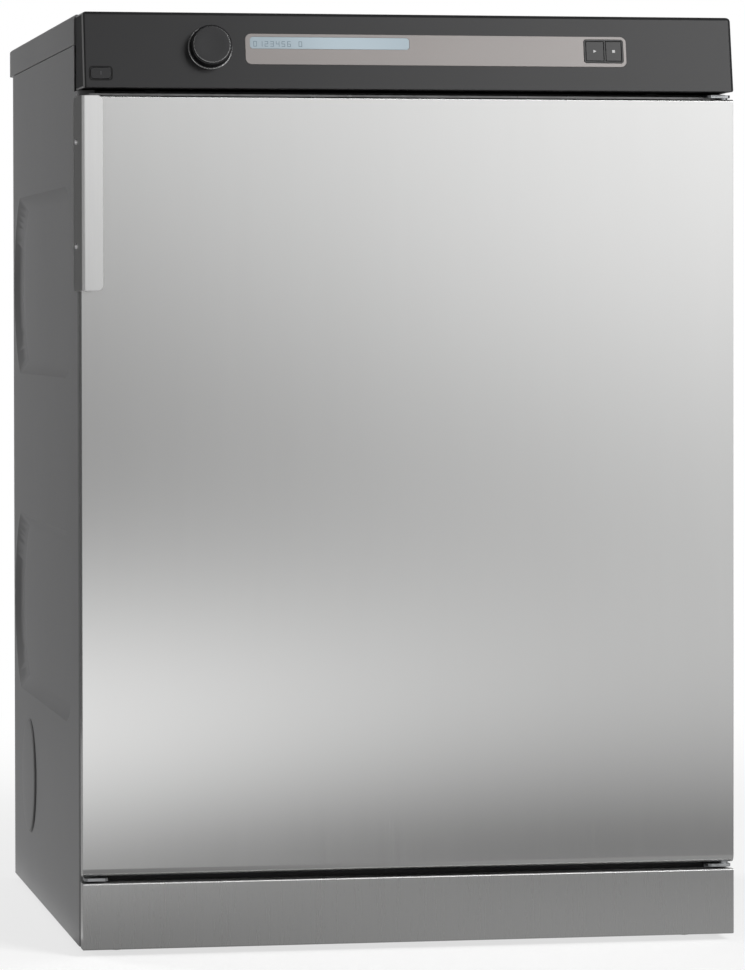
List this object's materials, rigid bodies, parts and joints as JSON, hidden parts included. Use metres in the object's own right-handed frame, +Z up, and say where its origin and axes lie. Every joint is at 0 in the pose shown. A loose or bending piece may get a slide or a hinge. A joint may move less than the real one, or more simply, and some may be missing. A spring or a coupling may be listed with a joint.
{
  "type": "tumble dryer",
  "caption": "Free-standing front-loading tumble dryer with a full-width stainless door, sloping control panel, turning drum, lifting lint filter and screw feet.",
  "frame": {"origin": "on the floor, under the middle of the whole outline", "axes": "+X to the right as seen from the front, +Y to the rear, +Z up"},
  "size_m": [0.6026, 0.656, 0.838],
  "materials": {
    "painted": "semi-matt grey paint",
    "stainless": "fine vertical grain",
    "handle_steel": "satin",
    "zinc": "zinc-plated sheet",
    "galvanised": "galvanised sheet",
    "fascia": "matt anthracite",
    "strip": "silk grey",
    "window": "lit window",
    "key": "matt",
    "knob": "gloss black",
    "cap": "dark anodised",
    "board": "circuit board",
    "rubber": "matt",
    "drum_steel": "polished sheet",
    "white_plastic": "matt",
    "grey_plastic": "matt",
    "cast": "cast",
    "motor": "lacquered stack"
  },
  "bodies": {
    "cabinet": {"left_side_panel": "painted", "right_side_panel": "painted", "left_vent_cap": "painted", "right_vent_cap": "painted", "top_cover": "painted", "base_tray": "galvanised", "plinth": "stainless", "front_frame": "galvanised", "mouth_collar": "galvanised", "hinge_bracket_top": "zinc", "hinge_bracket_bottom": "zinc", "spare_hinge_plate": "zinc", "door_catch": "grey_plastic", "control_fascia": "fascia", "display_strip": "strip", "display_module": "window", "key_bezel": "key", "control_board": "board", "rear_bulkhead": "galvanised", "bearing_housing": "cast", "heater_box": "galvanised", "heater_rods": "zinc", "rear_panel": "galvanised", "cable_gland": "grey_plastic", "filter_duct": "grey_plastic", "fan_housing": "grey_plastic", "exhaust_duct": "grey_plastic", "motor": "motor", "motor_cradle": "galvanised", "drive_belt": "rubber", "roller_bracket_left": "zinc", "roller_bracket_right": "zinc"},
    "door": {"door_outer_panel": "stainless", "door_inner_panel": "white_plastic", "door_seal": "rubber", "hinge_bush_lower": "white_plastic", "hinge_bush_upper": "white_plastic", "door_handle": "handle_steel", "handle_screws": "zinc", "door_strike": "zinc"},
    "start_button": {"start_key": "key"},
    "stop_button": {"stop_key": "key"},
    "power_button": {"main_switch": "key"},
    "knob": {"programme_knob": "knob", "knob_cap": "cap", "knob_spindle": "zinc"},
    "drum": {"drum_shell": "drum_steel", "drum_rear_wall": "drum_steel", "drum_lifters": "grey_plastic", "drum_shaft": "zinc"},
    "filter": {"lint_filter": "white_plastic"},
    "rotor": {"fan_impeller": "grey_plastic", "motor_shaft": "zinc"},
    "roller_left": {"drum_roller_left": "rubber"},
    "roller_right": {"drum_roller_right": "rubber"},
    "front_left_foot": {"foot_front_left": "rubber"},
    "front_right_foot": {"foot_front_right": "rubber"},
    "rear_left_foot": {"foot_rear_left": "rubber"},
    "rear_right_foot": {"foot_rear_right": "rubber"}
  },
  "joints": [
    {"name": "door_swing", "type": "hinge", "parent": "cabinet", "child": "door", "pos_m": [0.2897, -0.295, 0.417], "axis": [0, 0, 1], "range_deg": [0, 170]},
    {"name": "drum_turn", "type": "hinge", "parent": "cabinet", "child": "drum", "pos_m": [0, 0, 0.515], "axis": [0, 1, 0], "continuous": true},
    {"name": "motor_turn", "type": "hinge", "parent": "cabinet", "child": "rotor", "pos_m": [0.04, 0, 0.125], "axis": [0, 1, 0], "continuous": true},
    {"name": "left_roller_turn", "type": "hinge", "parent": "cabinet", "child": "roller_left", "pos_m": [-0.17798, -0.195, 0.26082], "axis": [0, 1, 0], "continuous": true},
    {"name": "right_roller_turn", "type": "hinge", "parent": "cabinet", "child": "roller_right", "pos_m": [0.17798, -0.195, 0.26082], "axis": [0, 1, 0], "continuous": true},
    {"name": "filter_lift", "type": "slide", "parent": "cabinet", "child": "filter", "axis": [0, 0, 1], "range_m": [0, 0.13]},
    {"name": "knob_turn", "type": "hinge", "parent": "cabinet", "child": "knob", "pos_m": [-0.1818, -0.30405, 0.80636], "axis": [0, -0.9822, 0.1878], "continuous": true},
    {"name": "start_press", "type": "slide", "parent": "cabinet", "child": "start_button", "axis": [0, 0.9822, -0.1878], "range_m": [0, 0.001], "stiffness_N_per_m": 600, "springref_m": -0.001},
    {"name": "stop_press", "type": "slide", "parent": "cabinet", "child": "stop_button", "axis": [0, 0.9822, -0.1878], "range_m": [0, 0.001], "stiffness_N_per_m": 600, "springref_m": -0.001},
    {"name": "power_press", "type": "slide", "parent": "cabinet", "child": "power_button", "axis": [0, 0.9822, -0.1878], "range_m": [0, 0.0025], "stiffness_N_per_m": 400, "springref_m": -0.001},
    {"name": "front_left_foot_screw", "type": "slide", "parent": "cabinet", "child": "front_left_foot", "axis": [0, 0, -1], "range_m": [0, 0.015]},
    {"name": "front_right_foot_screw", "type": "slide", "parent": "cabinet", "child": "front_right_foot", "axis": [0, 0, -1], "range_m": [0, 0.015]},
    {"name": "rear_left_foot_screw", "type": "slide", "parent": "cabinet", "child": "rear_left_foot", "axis": [0, 0, -1], "range_m": [0, 0.015]},
    {"name": "rear_right_foot_screw", "type": "slide", "parent": "cabinet", "child": "rear_right_foot", "axis": [0, 0, -1], "range_m": [0, 0.015]}
  ],
  "couplings": [
    {"joint": "motor_turn", "follows": "drum_turn", "ratio": 22.12},
    {"joint": "left_roller_turn", "follows": "drum_turn", "ratio": -7.8571},
    {"joint": "right_roller_turn", "follows": "drum_turn", "ratio": -7.8571}
  ]
}
